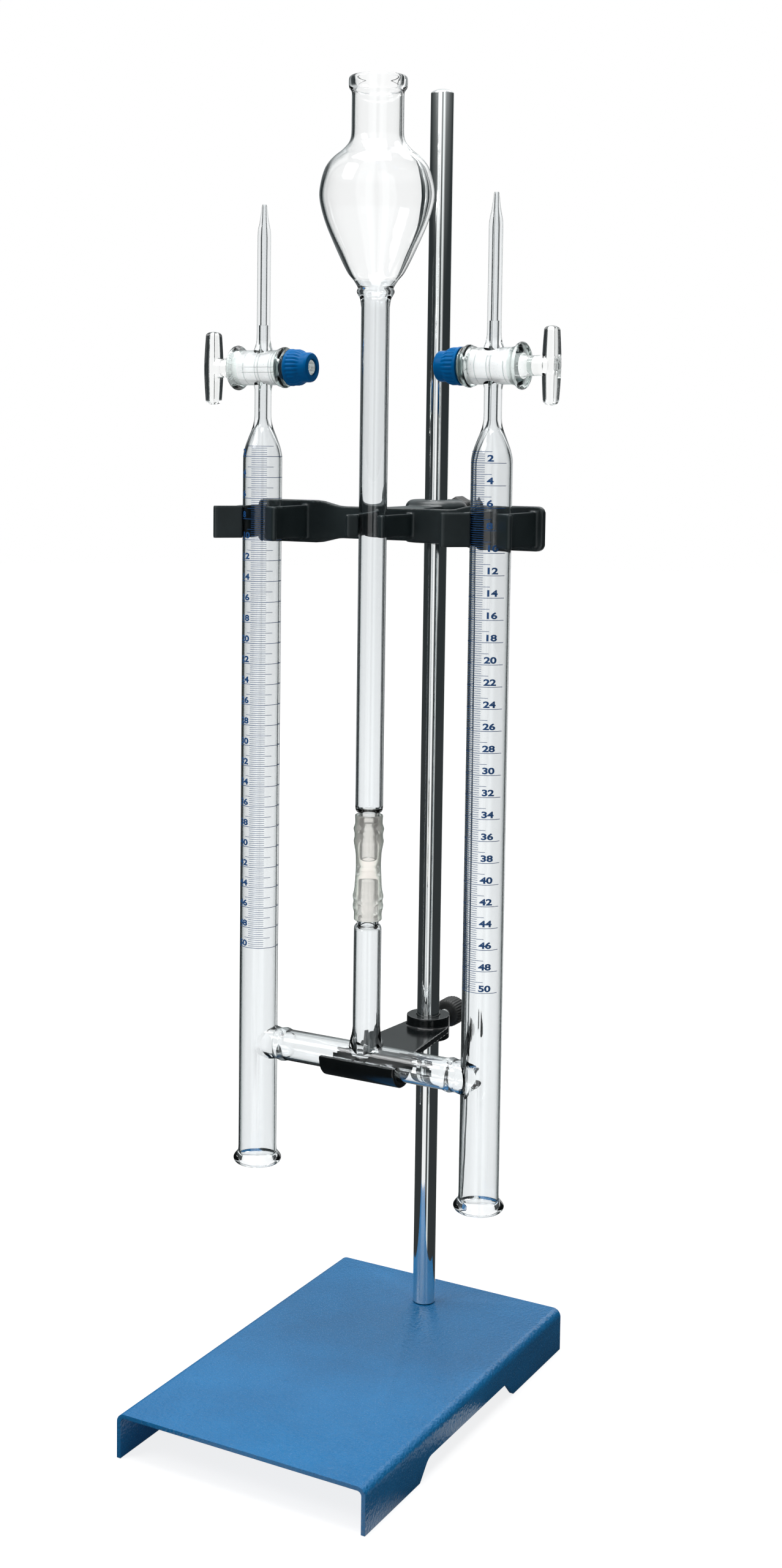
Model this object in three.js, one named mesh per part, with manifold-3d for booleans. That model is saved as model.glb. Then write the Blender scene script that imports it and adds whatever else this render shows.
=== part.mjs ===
// Two-tube water electrolysis apparatus on a retort stand.
// Units millimetres, +Z up. The origin is on the bench surface, under the middle of the
// object's bounding box. +X runs from the left gas tube to the right one, -Y is the front.
import * as THREE from "three";
import { mergeVertices } from "three/addons/utils/BufferGeometryUtils.js";
import Module from "manifold-3d";

const wasm = await Module();
wasm.setup();

// ---------------------------------------------------------------- driving dimensions
const GAP = 0.3; // clearance between neighbouring pieces

// pressed steel base: a channel open at the front and back, notched along its sides
const BASE = { w: 125, len: 200, top: 20.6, sheet: 2, bend: 4, y: -1.75 };
const NOTCH = { front: -50.7, rear: 45, rise: 8.2, slope: 8 };
const THREAD_R = 4; // reduced end of the rod under the plate

const ROD = { r: 5.5, top: 612.4, back: 73.5 }; // back: distance behind the base middle
const ROD_Y = BASE.y + ROD.back;
const REACH = 63.3; // rod axis to the plane of the glass
const GLASS_Y = ROD_Y - REACH;

// lower bracket carrying the cross tube
const COLLAR = { r: 10.5, z0: 155.5, z1: 166.8 };
const BORE_R = ROD.r + GAP;
const ARM = { back: 23, front: 34, z0: 159, z1: 162 };
const TROUGH = { half: 19.7, r: 10.2, wall: 2.4, z: 161, top: 162 };

// upper clamp with three spring clips
const CLAMP_Z = 409;
const BAR = { half: 74.6, back: 24.3, front: 20.8, endH: 20, midH: 15, mid: 27.5, end: 42 };
const CLIP = { wall: 2.6, h: 15, hook: 50, lip: 12.5 };
const STEM_CLIP = { wall: 2.4, h: 10, hook: 46, lip: 4.5 };
const BOSS = { r: 14.8, z0: 399, z1: 419.4, round: 4, web: 9 };

// thumbscrews
const SCREW = { r: 2, hole: 2.3 };
const LOWER_KNOB = { r: 7.1, from: 19.5, to: 30, z: 162, lobes: 16, dip: 0.25 };
const UPPER_KNOB = { r: 9, from: 20.5, to: 30, z: 411.5, lobes: 8, dip: 0.84 };

// glass
const SPREAD = 59; // gas tube axis from the middle
const TUBE = { r: 9.15, bore: 8.05, bottom: 100.8, shoulder: 438, neckR: 3.95, neckBore: 1.5 };
const CROSS = { r: 7.3, bore: 6.1, z: 161, bead: 44, beadR: 8 };
const RISER = { r: 6.4, bore: 5.2, top: 225, tip: 247 };
const BARB = { r: 4.4, bump: 5.2, bore: 3.2 };
const COCK = { z: 480.5, r: 8.05, bore: 5.6, hole: 1.5, flange: 13.7, small: 10.6 };
const JET = { r: 3.1, bore: 1.1, full: 541, tip: 555.1 };
const STEM = { r: 6.4, bore: 5.2, end: 277.6, tip: 254.8, top: 515.2 };
const SLEEVE = { z0: 227.2, z1: 276.2, bore: 5.5 };

// ---------------------------------------------------------------- geometry helpers
// A closed mesh as a solid: only positions, shared vertices merged, slivers dropped.
function solid(geometry) {
  const g = geometry.clone();
  g.deleteAttribute("normal");
  g.deleteAttribute("uv");
  const m = mergeVertices(g, 1e-4);
  const index = m.index.array;
  const tri = [];
  for (let i = 0; i < index.length; i += 3) {
    const [a, b, c] = [index[i], index[i + 1], index[i + 2]];
    if (a !== b && b !== c && c !== a) tri.push(a, b, c);
  }
  return new wasm.Manifold(new wasm.Mesh({
    numProp: 3,
    vertProperties: new Float32Array(m.attributes.position.array),
    triVerts: new Uint32Array(tri),
  }));
}

function fromSolid(s) {
  const mesh = s.getMesh();
  const g = new THREE.BufferGeometry();
  g.setAttribute("position", new THREE.BufferAttribute(new Float32Array(mesh.vertProperties), 3));
  g.setIndex(new THREE.BufferAttribute(new Uint32Array(mesh.triVerts), 1));
  g.computeVertexNormals();
  return g;
}

// Body of revolution about Z through (x, y), from a closed profile of [radius, z] pairs.
function revolve(profile, seg = 28, x = 0, y = 0) {
  let area = 0;
  profile.forEach(([r, z], i) => {
    const [r2, z2] = profile[(i + 1) % profile.length];
    area += r * z2 - r2 * z;
  });
  const pts = (area > 0 ? profile : [...profile].reverse()).map(([r, z]) => new THREE.Vector2(r, z));
  pts.push(pts[0].clone());
  const g = new THREE.LatheGeometry(pts, seg);
  g.rotateX(Math.PI / 2);
  g.translate(x, y, 0);
  return solid(g);
}

// The same about an axis along +X or -X (dir) through (x, y, z); profile is [radius, distance].
function revolveX(profile, dir, x, y, z, seg = 24) {
  let area = 0;
  profile.forEach(([r, u], i) => {
    const [r2, u2] = profile[(i + 1) % profile.length];
    area += r * u2 - r2 * u;
  });
  const pts = (area > 0 ? profile : [...profile].reverse()).map(([r, u]) => new THREE.Vector2(r, u));
  pts.push(pts[0].clone());
  const g = new THREE.LatheGeometry(pts, seg);
  g.rotateZ(-dir * Math.PI / 2);
  g.translate(x, y, z);
  return solid(g);
}

function rod(r, from, to, seg = 24) {
  const a = new THREE.Vector3(...from);
  const b = new THREE.Vector3(...to);
  const g = new THREE.CylinderGeometry(r, r, a.distanceTo(b), seg);
  const q = new THREE.Quaternion().setFromUnitVectors(
    new THREE.Vector3(0, 1, 0), b.clone().sub(a).normalize());
  g.applyQuaternion(q);
  g.translate(...a.add(b).multiplyScalar(0.5).toArray());
  return solid(g);
}

function box(x0, x1, y0, y1, z0, z1) {
  const g = new THREE.BoxGeometry(x1 - x0, y1 - y0, z1 - z0);
  g.translate((x0 + x1) / 2, (y0 + y1) / 2, (z0 + z1) / 2);
  return solid(g);
}

function shapeOf(points) {
  return new THREE.Shape(points.map(([a, b]) => new THREE.Vector2(a, b)));
}

// Outline in X, Y extruded upwards.
function slab(points, z0, z1) {
  const g = new THREE.ExtrudeGeometry(shapeOf(points), { depth: z1 - z0, bevelEnabled: false });
  g.translate(0, 0, z0);
  return solid(g);
}

// Outline in X, Z extruded along Y.
function wallXZ(points, y0, y1) {
  const g = new THREE.ExtrudeGeometry(shapeOf(points), { depth: y1 - y0, bevelEnabled: false });
  g.rotateX(Math.PI / 2);
  g.translate(0, y1, 0);
  return solid(g);
}

// Outline in Y, Z extruded along X.
function wallYZ(points, x0, x1) {
  const g = new THREE.ExtrudeGeometry(shapeOf(points), { depth: x1 - x0, bevelEnabled: false });
  g.rotateY(Math.PI / 2);
  g.rotateX(Math.PI / 2);
  g.translate(x0, 0, 0);
  return solid(g);
}

function arc(cx, cy, r, from, to, n) {
  return Array.from({ length: n + 1 }, (_, i) => {
    const a = THREE.MathUtils.degToRad(from + ((to - from) * i) / n);
    return [cx + r * Math.cos(a), cy + r * Math.sin(a)];
  });
}

const union = (...s) => s.reduce((a, b) => a.add(b));
const cut = (s, ...tools) => tools.reduce((a, b) => a.subtract(b), s);

// ---------------------------------------------------------------- materials
const material = (color, roughness, metalness, extra = {}) =>
  new THREE.MeshStandardMaterial({ color, roughness, metalness, ...extra });
const bluePaint = material(0x2f6fb0, 0.42, 0);
const chrome = material(0xcfd3d6, 0.08, 1);
const zinc = material(0xa9adb0, 0.35, 1);
const blackPlastic = material(0x17191b, 0.42, 0);
const bluePlastic = material(0x0a56a6, 0.38, 0);
const clearWasher = material(0xb9c4c4, 0.25, 0, { transparent: true, opacity: 0.7 });
const rubber = material(0x59605f, 0.7, 0);
const silicone = material(0xaab6a6, 0.4, 0, { transparent: true, opacity: 0.6 });
const glass = material(0xdfeeee, 0.03, 0, { transparent: true, opacity: 0.3 });

const root = new THREE.Group();
root.name = "retort_stand";
function place(name, body, mat) {
  const mesh = new THREE.Mesh(fromSolid(body), mat);
  mesh.name = name;
  root.add(mesh);
}

// ---------------------------------------------------------------- base, washer, nut, rod
{
  const h = BASE.w / 2;
  const { top, sheet, bend } = BASE;
  const section = [
    [-h, 0], [-h + sheet, 0],
    ...arc(-h + bend, top - bend, bend - sheet, 180, 90, 5),
    ...arc(h - bend, top - bend, bend - sheet, 90, 0, 5),
    [h - sheet, 0], [h, 0],
    ...arc(h - bend, top - bend, bend, 0, 90, 6),
    ...arc(-h + bend, top - bend, bend, 90, 180, 6),
  ];
  const channel = wallXZ(section, BASE.y - BASE.len / 2, BASE.y + BASE.len / 2);
  const f = BASE.y + NOTCH.front;
  const r = BASE.y + NOTCH.rear;
  const notch = wallYZ([
    [f, -1], [r, -1], [r, 0], [r - 2, 1.2], [r - NOTCH.slope + 1.5, NOTCH.rise - 1],
    [r - NOTCH.slope - 1, NOTCH.rise], [f + NOTCH.slope + 1, NOTCH.rise],
    [f + NOTCH.slope - 1.5, NOTCH.rise - 1], [f + 2, 1.2], [f, 0],
  ], -h - 1, h + 1);
  const hole = rod(THREAD_R + GAP, [0, ROD_Y, 0], [0, ROD_Y, top + 1], 32);
  place("base_plate", cut(channel, notch, hole), bluePaint);

  const under = top - sheet - GAP;
  place("rod_washer", revolve([
    [THREAD_R + GAP, under - 1.6], [9, under - 1.6], [9, under], [THREAD_R + GAP, under],
  ], 28, 0, ROD_Y), zinc);
  const nutTop = under - 1.6 - GAP;
  const hex = arc(0, ROD_Y, 7.5, 0, 300, 5);
  place("rod_nut", cut(
    slab(hex, nutTop - 6.5, nutTop),
    rod(THREAD_R + GAP, [0, ROD_Y, 0], [0, ROD_Y, top], 32),
  ), zinc);
  place("stand_rod", revolve([
    [0, 6], [THREAD_R - 0.6, 6], [THREAD_R, 6.6], [THREAD_R, top + GAP], [ROD.r, top + GAP],
    [ROD.r, ROD.top - 1.9], [ROD.r - 0.4, ROD.top - 1.3], [ROD.r - 1.4, ROD.top - 0.75],
    [ROD.r - 3, ROD.top - 0.25], [0, ROD.top],
  ], 36, 0, ROD_Y), chrome);
}

// ---------------------------------------------------------------- thumbscrews
// A shank along Y with a lobed knob over its outer end.
function thumbscrew(prefix, from, k) {
  const y0 = ROD_Y + from;
  const end = ROD_Y + k.to - 2.6;
  place(`${prefix}_screw`, union(
    rod(SCREW.r, [0, y0, k.z], [0, end, k.z], 24),
    rod(SCREW.r + 0.6, [0, ROD_Y + k.from - 1.5, k.z], [0, ROD_Y + k.from - GAP, k.z], 24),
  ), zinc);
  const outline = [];
  const n = k.lobes * (k.lobes > 8 ? 4 : 6);
  for (let i = 0; i < n; i++) {
    const a = (i / n) * 2 * Math.PI;
    const r = k.r - k.dip * (0.5 - 0.5 * Math.cos(k.lobes * a));
    outline.push([r * Math.cos(a), r * Math.sin(a)]);
  }
  const g = new THREE.ExtrudeGeometry(shapeOf(outline), {
    depth: k.to - k.from - 2, bevelEnabled: true, bevelThickness: 1, bevelSize: 0.9, bevelOffset: -0.9,
    bevelSegments: 1,
  });
  g.rotateX(-Math.PI / 2);
  g.translate(0, ROD_Y + k.from + 1, k.z);
  place(`${prefix}_screw_knob`, cut(
    solid(g), rod(SCREW.r + GAP, [0, ROD_Y + k.from - 1, k.z], [0, end + GAP, k.z], 24),
  ), blackPlastic);
}

// ---------------------------------------------------------------- lower bracket
{
  const collar = revolve([
    [0, COLLAR.z0], [COLLAR.r - 0.5, COLLAR.z0], [COLLAR.r, COLLAR.z0 + 0.5],
    [COLLAR.r, COLLAR.z1 - 0.7], [COLLAR.r - 0.7, COLLAR.z1], [0, COLLAR.z1],
  ], 32, 0, ROD_Y);
  const back = GLASS_Y + TROUGH.r;
  const arm = slab([
    [-ARM.back / 2, ROD_Y], [-ARM.front / 2, back - 3], [ARM.front / 2, back - 3], [ARM.back / 2, ROD_Y],
  ], ARM.z0, ARM.z1);
  const dip = Math.asin((TROUGH.top - TROUGH.z) / TROUGH.r) * 57.2958;
  const dipIn = Math.asin((TROUGH.top - TROUGH.z) / (TROUGH.r - TROUGH.wall)) * 57.2958;
  const trough = wallYZ([
    ...arc(GLASS_Y, TROUGH.z, TROUGH.r, 180 - dip, 360 + dip, 20),
    ...arc(GLASS_Y, TROUGH.z, TROUGH.r - TROUGH.wall, 360 + dipIn, 180 - dipIn, 18),
  ], -TROUGH.half, TROUGH.half);
  const saddle = rod(TROUGH.r - TROUGH.wall, [-30, GLASS_Y, TROUGH.z], [30, GLASS_Y, TROUGH.z], 48);
  const rib = wallYZ([
    [back - 1.5, ARM.z0 + 0.5], [back - 1.5, 156.5], [back + 3, ARM.z0 - 0.6], [ROD_Y - 12, ARM.z0 - 0.6],
    [ROD_Y - 8.5, 156.5], [ROD_Y - 8.5, ARM.z0 + 0.5],
  ], -1.5, 1.5);
  place("cradle_bracket", cut(
    union(collar, arm, rib, trough),
    saddle,
    rod(BORE_R, [0, ROD_Y, 140], [0, ROD_Y, 180], 36),
    rod(SCREW.hole, [0, ROD_Y, LOWER_KNOB.z], [0, ROD_Y + 20, LOWER_KNOB.z], 24),
  ), blackPlastic);
  thumbscrew("cradle", BORE_R, LOWER_KNOB);
}

// ---------------------------------------------------------------- upper clamp
// One half of a spring clip about (cx, GLASS_Y); side is +1 or -1.
function clipArm(cx, side, inner, c) {
  const z0 = CLAMP_Z - c.h / 2;
  const z1 = CLAMP_Z + c.h / 2;
  const outer = inner + c.wall;
  const pts = [
    [inner, BAR.front + 0.6], [inner, 0], ...arc(0, 0, inner, 0, -c.hook, 10).slice(1),
    ...arc(0, 0, outer, -c.hook, 0, 10), [outer, BAR.front + 0.6],
  ].map(([x, y]) => [cx + side * x, GLASS_Y + y]);
  const a = THREE.MathUtils.degToRad(c.hook);
  const s = Math.SQRT1_2;
  const p = [inner * Math.cos(a), -inner * Math.sin(a)];
  const end = [p[0] + s * c.lip, p[1] - s * c.lip];
  const t = c.wall;
  const lip = [
    p, end, [end[0] + s * t * 0.3 + 0.45, end[1] - 0.45 + s * t * 0.3],
    [end[0] + s * t, end[1] + s * t], [p[0] + s * t, p[1] + s * t],
  ].map(([x, y]) => [cx + side * x, GLASS_Y + y]);
  return union(slab(pts, z0, z1), slab(lip, z0, z1));
}
{
  const b = BAR;
  const e = b.endH / 2;
  const m = b.midH / 2;
  const right = [
    [b.mid, -m], [b.mid + 3, -m - 0.25], [b.end - 3, -e + 0.25], [b.end, -e], [b.half - 3, -e],
    ...arc(b.half - 3, -e + 3, 3, -90, 0, 4).slice(1), ...arc(b.half - 3, e - 3, 3, 0, 90, 4),
    [b.end, e], [b.end - 3, e - 0.25], [b.mid + 3, m + 0.25], [b.mid, m],
  ];
  const outline = [...right, ...right.map(([x, z]) => [-x, z]).reverse()]
    .map(([x, z]) => [x, CLAMP_Z + z]);
  const bar = wallXZ(outline, GLASS_Y + b.front, GLASS_Y + b.back);
  const clips = [];
  for (const side of [-1, 1]) {
    for (const cx of [-SPREAD, SPREAD]) clips.push(clipArm(cx, side, TUBE.r + 0.35, CLIP));
    clips.push(clipArm(0, side, STEM.r + 0.35, STEM_CLIP));
  }
  const { r, z0, z1, round } = BOSS;
  const top = arc(r - round, z1 - round, round, 0, 90, 4);
  const boss = revolve([[0, z0], [r - 1, z0], [r, z0 + 1], ...top, [0, z1]], 36, 0, ROD_Y);
  const web = slab([
    [-b.mid * 0.55, GLASS_Y + b.back - 0.5], [-BOSS.web, GLASS_Y + b.back + 8], [-BOSS.web, ROD_Y - 8],
    [BOSS.web, ROD_Y - 8], [BOSS.web, GLASS_Y + b.back + 8], [b.mid * 0.55, GLASS_Y + b.back - 0.5],
  ], CLAMP_Z - m, CLAMP_Z + m);
  place("tube_clamp", cut(
    union(bar, ...clips, boss, web),
    rod(BORE_R, [0, ROD_Y, 380], [0, ROD_Y, 440], 36),
    rod(SCREW.hole, [0, ROD_Y, UPPER_KNOB.z], [0, ROD_Y + 20, UPPER_KNOB.z], 24),
  ), blackPlastic);
  thumbscrew("clamp", BORE_R, UPPER_KNOB);
}

// ---------------------------------------------------------------- glass
// Rings worked onto a tube end under a push-on sleeve; s is +1 for an end that points up.
const barbEnd = (tip, s) => [
  [BARB.r, tip - s * 18], [BARB.bump, tip - s * 16.5], [BARB.r + 0.2, tip - s * 13.4],
  [BARB.r, tip - s * 12.9], [BARB.bump, tip - s * 11.4], [BARB.r + 0.2, tip - s * 8.3],
  [BARB.r, tip - s * 7.5], [BARB.r, tip - s * 1], [BARB.r - 0.6, tip],
];

for (const [side, word] of [[-1, "left"], [1, "right"]]) {
  const x = side * SPREAD;
  const t = TUBE;
  const cockAxis = [[x - 30, GLASS_Y, COCK.z], [x + 30, GLASS_Y, COCK.z]];

  // graduated gas tube: beaded open foot, shoulder and narrow neck
  const tube = revolve([
    [t.bore, t.bottom + 0.9], [9, t.bottom], [10.6, t.bottom + 0.4], [11.5, t.bottom + 2.2],
    [10.9, t.bottom + 3.9], [t.r, t.bottom + 5.4], [t.r, t.shoulder], [8.6, t.shoulder + 4.6],
    [6.6, t.shoulder + 10], [4.6, t.shoulder + 14.4], [t.neckR, t.shoulder + 20], [t.neckR, 470],
    [t.neckR + 0.9, 476], [t.neckBore, 476], [t.neckBore, t.shoulder + 18],
    [3.3, t.shoulder + 12.4], [6, t.shoulder + 7.6], [t.bore, t.shoulder - 0.5],
  ], 26, x, GLASS_Y);
  place(`gas_tube_${word}`, cut(
    tube,
    rod(COCK.r + GAP, ...cockAxis, 36),
    rod(CROSS.bore, [0, GLASS_Y, CROSS.z], [x, GLASS_Y, CROSS.z], 24),
  ), glass);

  // stopcock barrel across the neck, its wide lip on the handle side
  const k = COCK;
  const barrel = revolveX([
    [k.bore, -k.small], [k.r + 0.4, -k.small], [k.r + 0.8, -k.small + 0.8], [k.r, -k.small + 2.2],
    [k.r, k.flange - 5], [k.r + 0.7, k.flange - 2.4], [10.1, k.flange - 0.9], [10.4, k.flange - 0.1],
    [10, k.flange + 0.7], [k.bore, k.flange + 0.2],
  ], side, x, GLASS_Y, k.z, 26);
  place(`stopcock_barrel_${word}`, cut(
    barrel, rod(k.hole, [x, GLASS_Y, k.z - 15], [x, GLASS_Y, k.z + 15], 8),
  ), glass);

  // upper jet, drawn down to a fine tip
  const j = JET;
  const jet = revolve([
    [4.6, 484.5], [4.4, 488.8], [3.5, 491], [j.r, 494.5], [j.r, j.full], [2, j.full + 7],
    [1.2, j.tip - 0.4], [1, j.tip], [0.6, j.tip], [0.7, j.full + 8], [j.bore, j.full - 1],
    [j.bore, 484.5],
  ], 16, x, GLASS_Y);
  place(`jet_${word}`, cut(jet, rod(k.r + GAP, ...cockAxis, 32)), glass);

  // plug with its T handle; the cross hole lies along the handle
  const plugR = k.bore - GAP;
  const plug = revolveX([
    [0, -26], [3.2, -26], [3.6, -25.6], [3.6, -10.6], [plugR, -10.2], [plugR, k.flange - 1],
    [4.6, k.flange + 1.6], [4.5, 23.5], [4.2, 25.4], [0, 25.4],
  ], side, x, GLASS_Y, k.z, 24);
  const hx = x + side * 27.4;
  const hz = 17;
  const half = [[4.3, 0], [4.2, 6], [3.8, 12], [3.5, hz - 1.6], [2.6, hz - 0.4], [1.4, hz]];
  const plan = [
    ...half, ...half.map(([a, b]) => [-a, b]).reverse(),
    ...half.slice(1).map(([a, b]) => [-a, -b]), ...half.slice(1).map(([a, b]) => [a, -b]).reverse(),
  ];
  const handle = wallYZ(plan.map(([a, b]) => [GLASS_Y + a, k.z + b]), hx - 3.1, hx + 3.1);
  const thin = wallXZ([
    [-3, 0], [-2.8, 8], [-2.4, hz - 1.5], [-1.5, hz], [1.5, hz], [2.4, hz - 1.5], [2.8, 8], [3, 0],
    [2.8, -8], [2.4, -hz + 1.5], [1.5, -hz], [-1.5, -hz], [-2.4, -hz + 1.5], [-2.8, -8],
  ].map(([a, b]) => [hx + a, k.z + b]), GLASS_Y - 6, GLASS_Y + 6);
  place(`stopcock_key_${word}`, cut(
    union(plug, handle.intersect(thin)),
    rod(k.hole, [x, GLASS_Y, k.z - 8], [x, GLASS_Y, k.z + 8], 8),
  ), glass);

  // sealing washer, ring and plastic nut on the narrow end of the plug
  place(`key_washer_${word}`, revolveX([
    [3.9, -12.6], [9.1, -12.6], [9.4, -12.2], [9.4, -11.3], [9.1, -10.9], [3.9, -10.9],
  ], side, x, GLASS_Y, k.z, 24), clearWasher);
  place(`key_oring_${word}`, revolveX(
    arc(6.6, -13.75, 1, 0, 315, 7).map(([r, u]) => [6.6 + (r - 6.6) * 2.1, u]),
    side, x, GLASS_Y, k.z, 20), rubber);
  const nut = revolveX([
    [3.9, -26.6], [6, -26.6], [6.85, -25.6], [6.85, -22.4], [8.1, -20.2], [8.3, -19.4],
    [8.3, -16.6], [8.5, -16.4], [8.5, -15], [3.9, -15],
  ], side, x, GLASS_Y, k.z, 24);
  const flutes = Array.from({ length: 24 }, (_, i) => {
    const a = (i / 24) * 2 * Math.PI;
    const y = GLASS_Y + 8.6 * Math.cos(a);
    const z = k.z + 8.6 * Math.sin(a);
    return rod(0.5, [x - side * 16.9, y, z], [x - side * 24, y, z], 6);
  });
  place(`key_nut_${word}`, cut(nut, ...flutes), bluePlastic);
}

// cross tube joining the two gas tubes, with worked rings and flared ends
{
  const c = CROSS;
  const halfLen = SPREAD - 4;
  const outer = [
    [c.r, c.bead - 2.2], [c.beadR, c.bead - 1], [c.beadR, c.bead + 1], [c.r + 0.1, c.bead + 2.2],
    [c.r + 0.3, 48.5], [8.8, 52], [9, halfLen],
  ];
  const body = revolveX([
    ...outer.map(([r, u]) => [r, -u]).reverse(), ...outer, [c.bore, halfLen], [c.bore, -halfLen],
  ], 1, 0, GLASS_Y, c.z, 26);
  const neighbours = [-1, 1].map((s) =>
    rod(TUBE.r + GAP, [s * SPREAD, GLASS_Y, 130], [s * SPREAD, GLASS_Y, 190], 36));
  place("cross_tube", cut(
    body, ...neighbours, rod(RISER.bore, [0, GLASS_Y, c.z], [0, GLASS_Y, c.z + 12], 24),
  ), glass);

  // riser up to the flexible coupling
  const r = RISER;
  const riser = revolve([
    [8, 163], [7.8, 168.6], [6.8, 172.5], [r.r, 175.5], [r.r, r.top - 1.6],
    [5.6, r.top - 0.2], ...barbEnd(r.tip, 1),
    [BARB.bore, r.tip], [BARB.bore, r.top - 1], [r.bore - 0.7, r.top - 1.4], [r.bore, r.top - 2.5], [r.bore, 163],
  ], 24, 0, GLASS_Y);
  place("riser_tube", cut(
    riser, rod(c.r + GAP, [-20, GLASS_Y, c.z], [20, GLASS_Y, c.z], 32),
  ), glass);
}

// flexible sleeve pushed over the two barbed ends
{
  const s = SLEEVE;
  const outer = [
    [6.5, s.z1], [6.4, 272.6], [7.05, 270], [6.6, 267.1], [6.95, 264.2], [6.1, 259], [5.85, 252],
    [6.4, 241.8], [7.1, 238.4], [6.7, 236.1], [7.05, 233.8], [6.4, 230.5], [6.5, s.z0],
  ];
  const inner = [
    [s.bore, s.z0], [s.bore, 247.6], [4.3, 248.6], [4.3, 252.6], [s.bore, 254.2], [s.bore, s.z1],
  ];
  place("silicone_coupling", revolve([...outer, ...inner], 22, 0, GLASS_Y), silicone);
}

// reservoir: stem with a worked bead, and the bulb with its open neck
{
  const s = STEM;
  place("reservoir_stem", revolve([
    [s.bore + 0.5, s.top], [7.9, s.top], [8.5, s.top - 1.4], [8, s.top - 3], [6.9, s.top - 4.6],
    [s.r, s.top - 7.4], [s.r, s.end + 1.6], [5.6, s.end + 0.2], ...barbEnd(s.tip, -1),
    [BARB.bore, s.tip], [BARB.bore, s.end + 1], [s.bore - 0.7, s.end + 1.4], [s.bore, s.end + 2.5],
    [s.bore, s.top - 3],
  ], 24, 0, GLASS_Y), glass);
  const outer = [
    [8.2, 515.5], [12.7, 522.3], [16, 529.5], [19.6, 536.6], [22.7, 543.7], [24.9, 550.8],
    [25.8, 556.5], [25.2, 562], [23.7, 567.4], [21.9, 570.6], [19.3, 573.4], [15.7, 576.3], [13.1, 579.2],
    [12, 581.8], [11.7, 584.5], [11.7, 602], [12.9, 603.4], [13.1, 604.4], [13.1, 607.2], [12.5, 608.5],
    [11.2, 608.8], [10.4, 607.8],
  ];
  const inner = [
    [10.4, 584.2], [10.7, 581.2], [12, 578.3], [14.9, 575.1], [18.4, 572.3], [20.8, 569.7], [22.4, 566.7],
    [23.9, 561.6], [24.45, 556.5], [23.6, 551.3], [21.5, 544.4], [14.8, 530.3], [11.3, 523], [5.9, 515.5],
  ];
  place("reservoir_bulb", revolve([...outer, ...inner], 32, 0, GLASS_Y), glass);
}

export default root;
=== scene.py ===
# Looks of the water electrolysis stand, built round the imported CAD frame. Metres, +Z up.
import bpy, bmesh, math
from mathutils import Matrix, Vector


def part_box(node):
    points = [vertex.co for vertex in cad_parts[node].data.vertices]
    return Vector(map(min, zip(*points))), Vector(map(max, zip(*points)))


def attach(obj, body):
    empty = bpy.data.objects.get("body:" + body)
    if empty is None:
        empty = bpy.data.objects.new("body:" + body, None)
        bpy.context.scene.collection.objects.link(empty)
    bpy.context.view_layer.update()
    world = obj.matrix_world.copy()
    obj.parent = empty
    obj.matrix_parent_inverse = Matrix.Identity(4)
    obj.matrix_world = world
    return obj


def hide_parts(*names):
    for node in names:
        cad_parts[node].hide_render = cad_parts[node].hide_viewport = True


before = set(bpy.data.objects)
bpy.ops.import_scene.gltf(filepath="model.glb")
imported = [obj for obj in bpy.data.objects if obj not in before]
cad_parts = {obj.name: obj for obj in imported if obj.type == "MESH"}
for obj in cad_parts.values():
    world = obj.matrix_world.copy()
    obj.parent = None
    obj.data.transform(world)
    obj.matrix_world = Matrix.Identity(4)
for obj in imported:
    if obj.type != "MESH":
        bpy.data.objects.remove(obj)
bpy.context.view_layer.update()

# ------------------------------------------------------------------ named sizes, from the CAD
MM = 0.001
ROD = (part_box("stand_rod")[0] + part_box("stand_rod")[1]) / 2          # rod axis
BULB_LO, BULB_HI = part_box("reservoir_bulb")
GLASS_Y = (BULB_LO.y + BULB_HI.y) / 2                                # plane of the glass
TUBE_LO, TUBE_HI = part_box("gas_tube_right")
SPREAD = (TUBE_LO.x + TUBE_HI.x) / 2                                 # gas tube axis from the middle
TUBE_BOTTOM = TUBE_LO.z
COCK_Z = sum(c.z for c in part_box("stopcock_barrel_left")) / 2        # stopcock axis
CROSS_Z = sum(c.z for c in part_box("cross_tube")) / 2                 # cross tube axis

# sizes beyond the CAD's boxes, in mm: gas tubes; holes for keys, screws, rod and the rod's threaded foot
TUBE_R, TUBE_BORE, SHOULDER = 9.15, 8.05, 438
SEAT_R, SCREW_HOLE_R, ROD_HOLE_R, STUD_HOLE_R = 5.6, 2.3, 5.8, 4.3
CLAMP_Z = 409                                                        # middle of the clamp's bar
KNOB_SEG = 192                                                       # sides of a knob, enough for its ribs

# printed scales: the height of the 2 mark and the length of a millilitre
SCALES = {"left": (439.5 * MM, 4.83 * MM), "right": (438.4 * MM, 4.893 * MM)}
PRINT_GAP, PRINT_RISE = 0.004 * MM, 0.03 * MM                        # enamel lies just clear of the glass
FACET, WIDEN = 0.45 * MM, 1.32                                       # strips a figure is bent in, its width

# upright soft boxes mirrored by the rod, by heading in turns: two in front, one and a pale wall behind
DARK, BOX, SLIM, WALL = (0, 0, 0), (1.0, 1.0, 1.0), (0.80, 0.83, 0.83), (0.26, 0.28, 0.285)
BOXES = [(0.235, DARK), (0.243, BOX), (0.283, BOX), (0.291, WALL), (0.370, WALL), (0.378, DARK),
         (0.703, DARK), (0.715, BOX), (0.808, BOX), (0.820, DARK),
         (0.854, DARK), (0.862, SLIM), (0.894, SLIM), (0.902, DARK)]

# the room that polished faces see above the soft boxes, by height; light from all round on matte faces
ROOM = [(0.0, (0.10, 0.11, 0.11)), (0.35, (0.030, 0.036, 0.038)), (0.62, (0.030, 0.036, 0.038)),
        (0.66, (0.12, 0.13, 0.13)), (0.72, (0.62, 0.64, 0.65)), (0.9, (0.80, 0.82, 0.83))]
AMBIENT = 0.17

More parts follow.
